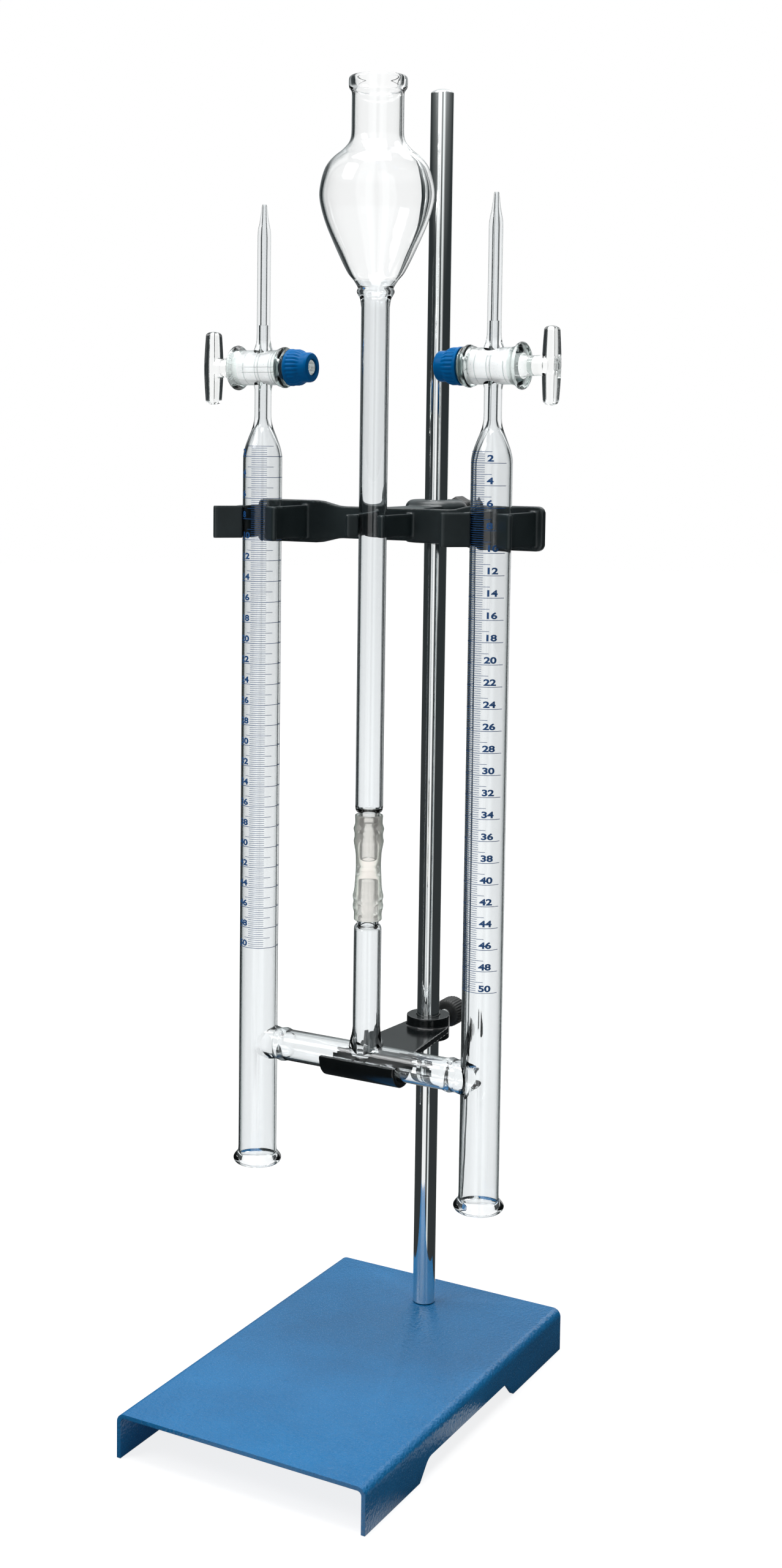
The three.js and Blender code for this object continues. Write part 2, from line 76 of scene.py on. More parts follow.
JOINT_WHITE, JOINT_LINE = (0.97, 0.98, 0.98), (0.30, 0.36, 0.35)     # frosted glass and its turned lines


# ------------------------------------------------------------------ camera
def make_camera():
    """Front right, a little above the middle; the lens shift is only the framing's."""
    yaw, pitch, roll = 0.5231, 0.0941, 0.0105
    where = Vector((0.44037, -0.79801, 0.45059))
    forward = Vector((-math.sin(yaw) * math.cos(pitch), math.cos(yaw) * math.cos(pitch), -math.sin(pitch)))
    right = Vector((math.cos(yaw), math.sin(yaw), 0))
    up = right.cross(forward)
    right, up = (math.cos(roll) * right + math.sin(roll) * up,
                 math.cos(roll) * up - math.sin(roll) * right)
    data = bpy.data.cameras.new("camera")
    data.lens, data.sensor_width = 46.49, 36
    data.shift_x, data.shift_y = 0.0424, -0.1019
    cam = bpy.data.objects.new("camera", data)
    rows = [(*axes, at) for axes, at in zip(zip(right, up, -forward), where)]
    cam.matrix_world = Matrix(rows + [(0, 0, 0, 1)])
    bpy.context.scene.collection.objects.link(cam)
    bpy.context.scene.camera = cam


# ------------------------------------------------------------------ node helpers
def new_material(name):
    m = bpy.data.materials.new(name)
    m.use_nodes = True
    return m, m.node_tree, m.node_tree.nodes["Principled BSDF"]


def add(tree, kind, **inputs):
    n = tree.nodes.new("ShaderNode" + kind)
    for k, v in inputs.items():
        n.inputs[k.replace("_", " ")].default_value = v
    return n


def coords(tree, scale=(1, 1, 1)):
    tc = tree.nodes.new("ShaderNodeTexCoord")
    mp = add(tree, "Mapping", Scale=scale)
    tree.links.new(tc.outputs["Object"], mp.inputs["Vector"])
    return mp.outputs["Vector"]


def noise(tree, vec, scale, detail=3.0, rough=0.55):
    n = add(tree, "TexNoise", Scale=scale, Detail=detail, Roughness=rough)
    tree.links.new(vec, n.inputs["Vector"])
    return n.outputs["Fac"]


def ramp(tree, fac, stops):
    r = tree.nodes.new("ShaderNodeValToRGB")
    els = r.color_ramp.elements
    while len(els) < len(stops):
        els.new(0.5)
    for e, (pos, col) in zip(els, stops):
        e.position = pos
        e.color = (*col, 1) if len(col) == 3 else col
    tree.links.new(fac, r.inputs["Fac"])
    return r.outputs["Color"]


def span(tree, fac, lo, hi):
    """A 0 to 1 value mapped to lo to hi."""
    n = add(tree, "MapRange", To_Min=lo, To_Max=hi)
    tree.links.new(fac, n.inputs["Value"])
    return n.outputs["Result"]


def bump(tree, height, strength, distance, normal=None):
    b = add(tree, "Bump", Strength=strength, Distance=distance)
    tree.links.new(height, b.inputs["Height"])
    if normal:
        tree.links.new(normal, b.inputs["Normal"])
    return b.outputs["Normal"]


def math_node(tree, op, *terms):
    n = tree.nodes.new("ShaderNodeMath")
    n.operation = op
    for i, v in enumerate(terms):
        if isinstance(v, (int, float)):
            n.inputs[i].default_value = v
        else:
            tree.links.new(v, n.inputs[i])
    return n.outputs[0]


def heading(tree, x, y):
    """Heading of x, y as a fraction of a turn."""
    turn = math_node(tree, "MULTIPLY_ADD", math_node(tree, "ARCTAN2", y, x), 0.5 / math.pi, 1.0)
    return math_node(tree, "FRACT", turn)


def mirror_rays(tree):
    """1 for light that a polished or glass face has mirrored on its way, else 0."""
    path = tree.nodes.new("ShaderNodeLightPath")
    mirrored = math_node(tree, "GREATER_THAN", path.outputs["Glossy Depth"], 0.5)
    not_matte = math_node(tree, "SUBTRACT", 1.0, path.outputs["Is Diffuse Ray"])
    return math_node(tree, "MULTIPLY", mirrored, not_matte)


def added(tree, colour, other):
    """Sum of two colours."""
    n = tree.nodes.new("ShaderNodeMix")
    n.data_type, n.blend_type = "RGBA", "ADD"
    n.inputs["Factor"].default_value = 1
    if isinstance(colour, tuple):
        n.inputs["A"].default_value = colour
    else:
        tree.links.new(colour, n.inputs["A"])
    tree.links.new(other, n.inputs["B"])
    return n.outputs["Result"]


def mix_shaders(tree, fac, at_0, at_1):
    n = tree.nodes.new("ShaderNodeMixShader")
    for socket, value in zip(n.inputs, (fac, at_0, at_1)):
        tree.links.new(value, socket)
    return n.outputs[0]


def looked_at(tree):
    """1 for what is seen directly or through glass, 0 for light on its way to a matte face."""
    path = tree.nodes.new("ShaderNodeLightPath")
    return math_node(tree, "MAXIMUM", path.outputs["Is Camera Ray"], path.outputs["Is Transmission Ray"])


# ------------------------------------------------------------------ materials
def powder_coat():
    """Blue powder coat: a fine orange peel under a glossy skin, with a faint cloudiness."""
    m, t, p = new_material("blue_powder_coat")
    v = coords(t)
    cloud = noise(t, v, 30, 4)
    t.links.new(ramp(t, cloud, [(0.3, (0.003, 0.140, 0.355)), (0.7, (0.005, 0.170, 0.42))]),
                p.inputs["Base Color"])
    fine = noise(t, v, 1500, 2, 0.5)
    peel = noise(t, v, 760, 1.5, 0.4)
    t.links.new(bump(t, peel, 0.6, 0.0007, bump(t, fine, 0.35, 0.00014)), p.inputs["Normal"])
    t.links.new(span(t, fine, 0.20, 0.32), p.inputs["Roughness"])
    return m


def moulded(name, dark, light, rough, grain=1800, relief=0.00006, sheen=0.5):
    """Injection-moulded plastic: fine spark grain, slow flow clouds and a soft sheen."""
    m, t, p = new_material(name)
    v = coords(t)
    flow = noise(t, v, 60, 4)
    t.links.new(ramp(t, flow, [(0.25, dark), (0.8, light)]), p.inputs["Base Color"])
    g = noise(t, v, grain, 2, 0.6)
    t.links.new(bump(t, g, 0.25, relief), p.inputs["Normal"])
    t.links.new(span(t, flow, rough - 0.06, rough + 0.08), p.inputs["Roughness"])
    p.inputs["IOR"].default_value = 1.5
    p.inputs["Specular IOR Level"].default_value = sheen
    return m


def polished_rod():
    """Bright chrome with faint draw lines along the rod and a few dull smears."""
    m, t, p = new_material("polished_chrome")
    along = noise(t, coords(t, (1, 1, 0.01)), 2600, 2)
    smear = noise(t, coords(t, (1, 1, 0.35)), 55, 4)
    t.links.new(ramp(t, smear, [(0.3, (0.80, 0.82, 0.82)), (0.8, (0.90, 0.91, 0.91))]),
                p.inputs["Base Color"])
    t.links.new(bump(t, along, 0.12, 0.00002), p.inputs["Normal"])
    t.links.new(span(t, smear, 0.03, 0.10), p.inputs["Roughness"])
    p.inputs["Metallic"].default_value = 1
    return m


def zinc():
    """Zinc-plated steel, in dull and bright patches."""
    m, t, p = new_material("zinc_plate")
    v = coords(t)
    patch = noise(t, v, 320, 3)
    t.links.new(ramp(t, patch, [(0.3, (0.48, 0.49, 0.50)), (0.75, (0.68, 0.69, 0.68))]),
                p.inputs["Base Color"])
    t.links.new(span(t, patch, 0.25, 0.45), p.inputs["Roughness"])
    t.links.new(bump(t, noise(t, v, 2400, 2), 0.2, 0.00004), p.inputs["Normal"])
    p.inputs["Metallic"].default_value = 1
    return m


def clear(name, middle, edge, rough=0.0, ior=1.47, start=0.24, reach=0.60):
    """Glass with faint draw lines: clear face on, greener where its wall is seen edge on and darkened there
    by painted shade.
    """
    m, t, p = new_material(name)
    lw = add(t, "LayerWeight", Blend=0.5)
    # painted shade: the colour runs from the middle colour to a dark edge colour as the face turns edge on
    stops = [(start + reach * u, tuple(a + k * (b - a) for a, b in zip(middle, edge)))
             for u, k in ((0, 0), (0.25, 0.10), (0.45, 0.35), (0.65, 0.70), (1, 1))]
    t.links.new(ramp(t, lw.outputs["Facing"], stops), p.inputs["Base Color"])
    p.inputs["Transmission Weight"].default_value = 1
    p.inputs["Roughness"].default_value = rough
    p.inputs["IOR"].default_value = ior
    t.links.new(bump(t, noise(t, coords(t, (1, 1, 0.12)), 120, 2), 0.15, 0.0001), p.inputs["Normal"])
    return m


def silicone_rubber():
    """Clear silicone gone milky: warm through the middle, grey-green and darkened by painted shade where its
    wall is seen edge on, with a faint painted glow.
    """
    m, t, p = new_material("silicone")
    lw = add(t, "LayerWeight", Blend=0.5)
    # painted shade: warm in the middle, darker grey-green as the face turns edge on
    tint_and_edge_shade = [(0.10, (1.0, 0.975, 0.945)), (0.32, (0.93, 0.935, 0.90)), (0.50, (0.70, 0.77, 0.72)),
            (0.72, (0.38, 0.49, 0.44)), (0.95, (0.18, 0.27, 0.24))]
    t.links.new(ramp(t, lw.outputs["Facing"], tint_and_edge_shade), p.inputs["Base Color"])
    g = noise(t, coords(t, (1, 1, 0.25)), 500, 3)
    t.links.new(bump(t, g, 0.15, 0.00005), p.inputs["Normal"])
    t.links.new(span(t, g, 0.10, 0.22), p.inputs["Roughness"])
    p.inputs["Transmission Weight"].default_value = 0.90
    # painted glow: a faint warm light of its own lifts the sleeve
    p.inputs["Emission Color"].default_value = (1.0, 0.97, 0.92, 1)
    p.inputs["Emission Strength"].default_value = 0.035
    p.inputs["IOR"].default_value = 1.41
    return m


def enamel():
    """Blue fired print of the scales, a little uneven in depth."""
    m, t, p = new_material("printed_scale")
    v = coords(t)
    ink = noise(t, v, 700, 3)
    t.links.new(ramp(t, ink, [(0.3, (0.010, 0.075, 0.24)), (0.8, (0.016, 0.11, 0.33))]),
                p.inputs["Base Color"])
    t.links.new(span(t, ink, 0.3, 0.5), p.inputs["Roughness"])
    return m


def ground_glass():
    """Ground joint: white and frosted, with a fine grain, a few turned lines and a faint painted glow."""
    m, t, p = new_material("ground_glass")
    g = noise(t, coords(t), 2200, 3)
    across = add(t, "SeparateXYZ")
    t.links.new(coords(t), across.inputs[0])
    along = math_node(t, "SUBTRACT", math_node(t, "ABSOLUTE", across.outputs["X"]), SPREAD)
    first, last = -11, 14
    place_on = add(t, "MapRange", From_Min=first * MM, From_Max=last * MM)
    t.links.new(along, place_on.inputs["Value"])
    rings = []
    for u in (-6.8, -0.85, 0.85, 7.3):            # mm along the joint
        at = (u - first) / (last - first)
        rings += [(at - 0.014, JOINT_WHITE), (at, JOINT_LINE), (at + 0.014, JOINT_WHITE)]
    t.links.new(ramp(t, place_on.outputs["Result"], rings), p.inputs["Base Color"])
    t.links.new(span(t, g, 0.22, 0.38), p.inputs["Roughness"])
    lines = noise(t, coords(t, (1, 0.02, 0.02)), 900, 2)
    t.links.new(bump(t, lines, 0.25, 0.00005, bump(t, g, 0.2, 0.00003)), p.inputs["Normal"])
    p.inputs["Transmission Weight"].default_value = 0.55
    # painted glow: a light of its own keeps the frosted joint white
    p.inputs["Emission Color"].default_value = (1, 1, 1, 1)
    p.inputs["Emission Strength"].default_value = 0.16
    p.inputs["IOR"].default_value = 1.47
    return m


def floor_paint():
    """Pale matte floor, self-lit to near white with a soft contact shadow; polished faces see it dim."""
    m, t, p = new_material("pale_floor")
    t.links.new(ramp(t, noise(t, coords(t), 3, 2), [(0.3, (0.27, 0.27, 0.27)), (0.7, (0.29, 0.29, 0.29))]),
                p.inputs["Base Color"])
    p.inputs["Roughness"].default_value = 0.9
    p.inputs["Specular IOR Level"].default_value = 0
    p.inputs["Emission Color"].default_value = (1, 1, 1, 1)
    away = t.nodes.new("ShaderNodeVectorMath")
    away.operation = "LENGTH"
    t.links.new(coords(t), away.inputs[0])
    rise = add(t, "MapRange", From_Min=0.35, From_Max=1.5, To_Min=0.83, To_Max=0.99)
    t.links.new(away.outputs["Value"], rise.inputs["Value"])
    shade = math_node(t, "MULTIPLY_ADD", looked_at(t), 0.85, 0.15)     # throws little light back up
    t.links.new(math_node(t, "MULTIPLY", rise.outputs["Result"], shade), p.inputs["Emission Strength"])

    # the rod mirrors the soft boxes right down to its foot
    xyz = t.nodes.new("ShaderNodeSeparateXYZ")
    t.links.new(coords(t), xyz.inputs[0])
    turn = heading(t, math_node(t, "SUBTRACT", xyz.outputs["X"], ROD.x),
                   math_node(t, "SUBTRACT", xyz.outputs["Y"], ROD.y))
    dim = add(t, "Emission")
    t.links.new(added(t, (0.035, 0.040, 0.042, 1), ramp(t, turn, BOXES)), dim.inputs["Color"])
    seen = mix_shaders(t, mirror_rays(t), p.outputs[0], dim.outputs[0])
    t.links.new(seen, t.nodes["Material Output"].inputs["Surface"])
    return m


MAT = {
    "coat": powder_coat(),
    "black": moulded("black_moulding", (0.010, 0.017, 0.019), (0.020, 0.031, 0.034), 0.34),
    "gloss": moulded("gloss_moulding", (0.003, 0.0045, 0.005), (0.006, 0.008, 0.0085), 0.13, 1800, 0.00002),
    "knob": moulded("black_knob", (0.008, 0.009, 0.009), (0.016, 0.017, 0.017), 0.5),
    "nut": moulded("blue_moulding", (0.0, 0.100, 0.30), (0.0, 0.135, 0.40), 0.3, 1400, sheen=0.06),
    "ring": clear("clear_ring", (0.42, 0.49, 0.48), (0.05, 0.07, 0.07), 0.1, 1.43),
    "rod": polished_rod(),
    "zinc": zinc(),
    "glass": clear("borosilicate", (0.885, 0.902, 0.910), (0.28, 0.34, 0.34), start=0.40, reach=0.55),
    # painted light: the bulb takes a lighter copy of the tube glass
    "bulb_glass_painted_light": clear("bulb_glass_painted_light", (0.995, 1.0, 1.0), (0.40, 0.46, 0.46),
                        ior=1.38, start=0.58, reach=0.40),
    # painted shade: the barrel's lips take a darker copy of the glass
    "lip_glass_painted_shade": clear("lip_glass_painted_shade", (0.66, 0.73, 0.71), (0.05, 0.075, 0.07), start=0.22, reach=0.60),
    "solid_glass": clear("solid_glass", (0.985, 0.995, 0.99), (0.30, 0.38, 0.37), start=0.40, reach=0.55),
    "washer": clear("clear_washer", (0.52, 0.60, 0.59), (0.04, 0.06, 0.06), 0.08, 1.43),
    "silicone": silicone_rubber(),
    "print": enamel(),
    "ground_glass": ground_glass(),
}


# ------------------------------------------------------------------ mesh helpers
def spline(points, steps):
    """Points along a smooth Catmull-Rom curve through the given ones."""
    pts = [Vector((*p, 0)) for p in points]
    pts = [2 * pts[0] - pts[1]] + pts + [2 * pts[-1] - pts[-2]]
    out = []
    for a, b, c, d in zip(pts, pts[1:], pts[2:], pts[3:]):
        for i in range(steps):
            u = i / steps
            q = 0.5 * (2 * b + (c - a) * u + (2 * a - 5 * b + 4 * c - d) * u * u
                       + (3 * b - a - 3 * c + d) * u ** 3)
            out.append((q.x, q.y))
    out.append(tuple(points[-1]))
    return out


def to_object(name, bm, smooth=35):
    bmesh.ops.recalc_face_normals(bm, faces=bm.faces)
    me = bpy.data.meshes.new(name)
    bm.to_mesh(me)
    bm.free()
    ob = bpy.data.objects.new(name, me)
    bpy.context.scene.collection.objects.link(ob)
    if smooth:
        me.shade_smooth()
        me.set_sharp_from_angle(angle=math.radians(smooth))
    return ob


def skin(bm, rings):
    """Faces from each ring of points to the next; a ring of one point makes a fan."""
    n = max(len(ring) for ring in rings)
    for a, b in zip(rings, rings[1:]):
        for i in range(n):
            j = (i + 1) % n
            face = list(dict.fromkeys([a[i % len(a)], a[j % len(a)], b[j % len(b)], b[i % len(b)]]))
            if len(face) > 2:
                bm.faces.new(face)


def lathe(name, profile, origin, axis="Z", sign=1, seg=72, smooth=35):
    """Closed body of revolution. profile holds (radius, distance) in mm, closed, off or on the axis."""
    bm = bmesh.new()
    rings = []
    for r, u in profile:
        if r < 1e-6:
            rings.append([bm.verts.new(place(0, 0, u, origin, axis, sign))])
        else:
            rings.append([bm.verts.new(place(r * math.cos(a), r * math.sin(a), u, origin, axis, sign))
                          for a in (2 * math.pi * i / seg for i in range(seg))])
    skin(bm, rings + rings[:1])
    return to_object(name, bm, smooth)


def place(a, b, u, origin, axis, sign):
    """A point a, b across and u along the axis, in mm, from the origin in metres."""
    if axis == "Z":
        v = Vector((a, b, sign * u))
    elif axis == "X":
        v = Vector((sign * u, a, b))
    else:
        v = Vector((a, sign * u, b))
    return Vector(origin) + v * MM


def cylinder(r, u0, u1, origin, axis="Z", seg=72):
    """A plain cylinder from one distance to another along the axis, in mm, mostly to cut holes with."""
    return lathe("cylinder", [(0, u0), (r, u0), (r, u1), (0, u1)], origin, axis, seg=seg)


def prism(name, outline, lo, hi, plane="XY", origin=(0, 0, 0)):
    """Outline in mm extruded across its plane from lo to hi."""
    bm = bmesh.new()

    def at(p, q, w):
        v = {"XY": (p, q, w), "XZ": (p, w, q), "YZ": (w, p, q)}[plane]
        return Vector(origin) + Vector(v) * MM
    a = [bm.verts.new(at(p, q, lo)) for p, q in outline]
    b = [bm.verts.new(at(p, q, hi)) for p, q in outline]
    bm.faces.new(a)
    bm.faces.new(list(reversed(b)))
    for i in range(len(a)):
        j = (i + 1) % len(a)
        bm.faces.new([a[i], a[j], b[j], b[i]])
    return to_object(name, bm)


def arc(cx, cy, r, start, end, n):
    """Points along an arc, from one angle to another in degrees."""
    return [(cx + r * math.cos(math.radians(start + (end - start) * i / n)),
             cy + r * math.sin(math.radians(start + (end - start) * i / n))) for i in range(n + 1)]


def rounded(outline, radius):
    """Rounds the corners of a closed outline in mm."""
    out = []
    steps = 6
    for i, p in enumerate(outline):
        p = Vector(p)
        before, after = Vector(outline[i - 1]), Vector(outline[(i + 1) % len(outline)])
        r = min(radius, (before - p).length / 2.2, (after - p).length / 2.2)
        a, b = p + (before - p).normalized() * r, p + (after - p).normalized() * r
        for k in range(steps + 1):
            u = k / steps
            q = (1 - u) ** 2 * a + 2 * u * (1 - u) * p + u * u * b
            out.append((q.x, q.y))
    return out


def thread(r, lo, hi, pitch, depth):
    """Profile of ridges between two heights."""
    out, z = [], lo
    while z + pitch <= hi:
        out += [(r - depth, z), (r - depth, z + 0.15 * pitch), (r, z + 0.45 * pitch), (r, z + 0.6 * pitch)]
        z += pitch
    return out + [(r - depth, hi)]


def settle(ob, smooth=35):
    """Applies an object's modifiers to its mesh."""
    dg = bpy.context.evaluated_depsgraph_get()
    dg.update()
    me = bpy.data.meshes.new_from_object(ob.evaluated_get(dg))
    ob.modifiers.clear()
    ob.data = me
    if smooth:
        me.shade_smooth()
        me.set_sharp_from_angle(angle=math.radians(smooth))
    return ob


def combine(base, others, how):
    """Applies a boolean with each of the others, and removes them."""
    for o in others:
        m = base.modifiers.new("b", "BOOLEAN")
        m.operation, m.solver, m.object = how, "EXACT", o
        settle(base, 0)
        bpy.data.objects.remove(o)
    return base


def join(base, *others):
    return combine(base, others, "UNION")


def carve(base, *others):
    return combine(base, others, "DIFFERENCE")


def soften(ob, voxel, rounds):
    """Rounds every edge a little, as a moulded piece has."""
    m = ob.modifiers.new("v", "REMESH")
    m.mode, m.voxel_size, m.adaptivity = "VOXEL", voxel * MM, 0
    s = ob.modifiers.new("s", "SMOOTH")
    s.factor, s.iterations = 0.5, rounds
    return settle(ob, 40)


def bevel(ob, width, segments=3, angle=35):
    b = ob.modifiers.new("b", "BEVEL")
    b.width, b.segments, b.limit_method, b.angle_limit = width * MM, segments, "ANGLE", math.radians(angle)
    return settle(ob)


def finish_piece(ob, material, body, slot, *stands_for):
    """Gives a piece its material and body, and hides the CAD nodes that it replaces; slot is not used."""
    ob.data.materials.clear()
    ob.data.materials.append(MAT[material])
    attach(ob, body)
    if stands_for:
        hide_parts(*stands_for)
    return ob


# ------------------------------------------------------------------ base and rod
def make_base():
    """Pressed steel channel: rounded bends, a notch along each side, a hole for the rod."""
    lo, hi = (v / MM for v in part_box("base_plate"))
    half, top, sheet, bend = hi.x, hi.z, 2.0, 4.0
    inner = bend - sheet
    section = [(-half, 0), (-half + sheet, 0), *arc(-half + bend, top - bend, inner, 180, 90, 10),
               *arc(half - bend, top - bend, inner, 90, 0, 10), (half - sheet, 0), (half, 0),
               *arc(half - bend, top - bend, bend, 0, 90, 14),
               *arc(-half + bend, top - bend, bend, 90, 180, 14)]
    plate = prism("base_coated", section, lo.y, hi.y, "XZ")
    mid = (lo.y + hi.y) / 2
    front, rear, rise, slope = mid - 50.7, mid + 45, 8.2, 8
    notch_line = [(front - 4, -3), (rear + 4, -3), (rear, 0), (rear - slope, rise), (front + slope, rise),
                  (front, 0)]
    notch = prism("notch", rounded(notch_line, 3.2), -half - 5, half + 5, "YZ")
    carve(plate, notch, cylinder(STUD_HOLE_R, top - 5, top + 3, (ROD.x, ROD.y, 0), seg=48))
    bevel(plate, 0.4, 3, 40)
    finish_piece(plate, "coat", "base", "blue_paint", "base_plate")


def make_rod():
    """Rod with a domed top and a threaded foot, and the nut and washer under the plate."""
    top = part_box("stand_rod")[1].z / MM
    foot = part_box("base_plate")[1].z / MM + 0.3
    profile = [(0, 6), (3.3, 6), *thread(4, 6.4, foot - 0.6, 1.25, 0.55), (3.6, foot), (5.35, foot),
               (5.5, foot + 0.2), (5.5, top - 2.1), (5.42, top - 1.75), (5.1, top - 1.35), (4.5, top - 0.95),
               (3.6, top - 0.58), (2.4, top - 0.25), (1.2, top - 0.06), (0, top)]
    rod = lathe("rod_polished", profile, (ROD.x, ROD.y, 0), seg=96)
    finish_piece(rod, "rod", "rod", "chrome_rod", "stand_rod")

    lo, hi = (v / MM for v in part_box("rod_nut"))
    across = (hi.x - lo.x) / 2
    hexa = prism("rod_nut_hex", arc(0, 0, across, 0, 300, 5), lo.z, hi.z, "XY", (ROD.x, ROD.y, 0))
    chamfers = [(0, lo.z), (6.6, lo.z), (7.6, lo.z + 0.8), (7.6, hi.z - 0.8), (6.6, hi.z), (0, hi.z)]
    dome = lathe("dome", chamfers, (ROD.x, ROD.y, 0))
    combine(hexa, [dome], "INTERSECT")
    carve(hexa, cylinder(STUD_HOLE_R, lo.z - 1, hi.z + 1, (ROD.x, ROD.y, 0)))
    bevel(hexa, 0.15, 2, 40)
    finish_piece(hexa, "zinc", "base", "zinc_steel", "rod_nut")
    lo, hi = (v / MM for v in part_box("rod_washer"))
    flat = [(STUD_HOLE_R, lo.z), (8.8, lo.z), (9, lo.z + 0.25), (9, hi.z - 0.1), (8.9, hi.z),
            (STUD_HOLE_R, hi.z)]
    washer = lathe("rod_washer_flat", flat, (ROD.x, ROD.y, 0))
    finish_piece(washer, "zinc", "base", "zinc_steel", "rod_washer")


# ------------------------------------------------------------------ thumbscrews
def make_thumbscrew(bracket, knob_r, lobes, depth):
    """Threaded shank and a black knob pressed on its end, lobed or finely knurled, both along +Y."""
    lo, hi = (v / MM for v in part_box(bracket + "_screw"))
    k_lo, k_hi = (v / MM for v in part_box(bracket + "_screw_knob"))
    collar = k_lo.y - 0.3
    axis_at = (ROD.x, 0, (lo.z + hi.z) / 2 * MM)
    profile = [(0, lo.y), (1.7, lo.y), *thread(2, lo.y + 0.3, collar - 1.3, 0.7, 0.3), (2.2, collar - 1.2),
               (2.6, collar - 1), (2.6, collar - 0.2), (2.4, collar), (2, collar), (2, hi.y), (0, hi.y)]
    shank = lathe(bracket + "_shank", profile, axis_at, "Y")
    finish_piece(shank, "zinc", bracket + "_shank", "zinc_steel", bracket + "_screw")

    # distance along the knob, share of its radius, share of the lobes' depth
    length = k_hi.y - k_lo.y
    stations = [(0, 0.35, 0), (0, 0.62, 0), (0.25, 0.80, 0.3), (0.7, 0.93, 0.8), (1.6, 0.99, 1),
                (length - 2.0, 1.0, 1), (length - 0.9, 0.955, 0.8), (length - 0.3, 0.88, 0.4),
                (length, 0.77, 0.1), (length, 0.60, 0), (length - 0.5, 0.56, 0), (length - 0.55, 0, 0)]
    bm = bmesh.new()
    rings = []
    for u, scale, lobed in stations:
        if scale == 0:
            rings.append([bm.verts.new(place(0, 0, k_lo.y + u, axis_at, "Y", 1))])
            continue
        ring = []
        for i in range(KNOB_SEG):
            a = 2 * math.pi * i / KNOB_SEG
            dip = depth * (0.5 - 0.5 * math.cos(lobes * a)) ** 0.8
            r = knob_r * scale - lobed * dip
            ring.append(bm.verts.new(place(r * math.cos(a), r * math.sin(a), k_lo.y + u, axis_at, "Y", 1)))
        rings.append(ring)
    skin(bm, rings)
    bm.faces.new(list(reversed(rings[0])))
    knob = to_object(bracket + "_knob", bm, 50)
    carve(knob, cylinder(SCREW_HOLE_R, k_lo.y - 1, hi.y + 0.3, axis_at, "Y"))
    finish_piece(knob, "knob", bracket + "_knob", "black_plastic", bracket + "_screw_knob")


# ------------------------------------------------------------------ moulded brackets
def screw_hole(bracket):
    """The hole for a bracket's screw, along Y from the rod outward."""
    z = sum(v.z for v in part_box(bracket + "_screw")) / 2
    return cylinder(SCREW_HOLE_R, ROD.y / MM, ROD.y / MM + 20, (ROD.x, 0, z), "Y", 48)


def make_cradle():
    """Lower bracket: collar on the rod, flat arm on a rib, and the trough under the cross tube."""
    lo, hi = (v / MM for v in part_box("cradle_bracket"))
    ry, gy, cz = ROD.y / MM, GLASS_Y / MM, CROSS_Z / MM
    r, wall, top = 10.2, 2.4, cz + 1
    collar = cylinder(10.5, 155.5, 166.8, (ROD.x, ROD.y, 0), seg=96)
    back = gy + r
    arm = prism("arm", [(-11.5, ry), (-17, back - 3), (17, back - 3), (11.5, ry)], 159, 162)
    dip, dip_in = (math.degrees(math.asin((top - cz) / q)) for q in (r, r - wall))
    trough = prism("trough", [*arc(gy, cz, r, 180 - dip, 360 + dip, 48),
                              *arc(gy, cz, r - wall, 360 + dip_in, 180 - dip_in, 40)], lo.x, hi.x, "YZ")
    rib = prism("rib", [(back - 1.5, 159.5), (back - 1.5, 156.5), (back + 3, 158.4), (ry - 12, 158.4),
                        (ry - 8.5, 156.5), (ry - 8.5, 159.5)], -1.5, 1.5, "YZ")
    part = join(collar, arm, trough, rib)
    saddle = cylinder(r - wall, -40, 40, (0, GLASS_Y, CROSS_Z), "X", 96)
    carve(part, saddle, cylinder(ROD_HOLE_R, 140, 180, (ROD.x, ROD.y, 0)), screw_hole("cradle"))
    part.name = "cradle_moulded"
    soften(part, 0.42, 3)
    finish_piece(part, "gloss", "cradle", "black_plastic", "cradle_bracket")


def clip_arm(cx, side, front, inner, wall, hook, lip, height):
    """One springy half of a clip, curling hook degrees round its tube and flaring out in a lip."""
    gy = GLASS_Y / MM
    outer = inner + wall
    a = math.radians(hook)
    px, py = inner * math.cos(a), -inner * math.sin(a)
    s = math.sqrt(0.5)
    ex, ey = px + s * lip, py - s * lip
    shell = [(inner, front + 0.6), (inner, 0), *arc(0, 0, inner, 0, -hook, 20)[1:], (ex, ey),
             *arc(ex + s * wall / 2, ey + s * wall / 2, wall / 2, -135, 45, 6)[1:],
             (px + s * wall * 1.4, py + s * wall * 0.6),
             *arc(0, 0, outer, -hook * 0.72, 0, 16), (outer, front + 0.6)]
    outline = [(cx + side * x, gy + y) for x, y in shell]
    return prism("clip", outline, CLAMP_Z - height / 2, CLAMP_Z + height / 2)


